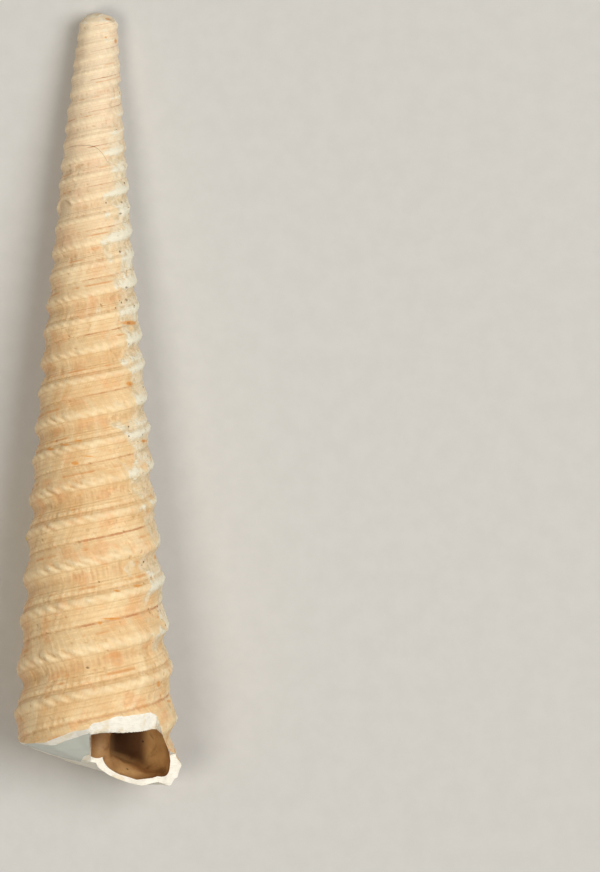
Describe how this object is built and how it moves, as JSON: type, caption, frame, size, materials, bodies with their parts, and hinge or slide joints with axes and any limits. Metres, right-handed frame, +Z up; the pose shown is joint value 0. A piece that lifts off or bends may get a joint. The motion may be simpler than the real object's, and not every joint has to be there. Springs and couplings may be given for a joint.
{
  "type": "fossil turret snail shell",
  "caption": "High-spired, right-handed fossil snail shell with beaded keels, a worn tip and a broken, hollow last whorl, lying on its side.",
  "frame": {"origin": "centre of the bounding box's underside, on the surface that the shell lies on", "axes": "+Z up, away from the surface; +Y along the shell towards its tip; +X towards the right side of the broken opening, seen from above"},
  "size_m": [0.0116, 0.0534, 0.0111],
  "materials": {
    "fossil_shell": "chalky, matt, cream to tan"
  },
  "bodies": {
    "root": {"shell": "fossil_shell"}
  },
  "joints": []
}
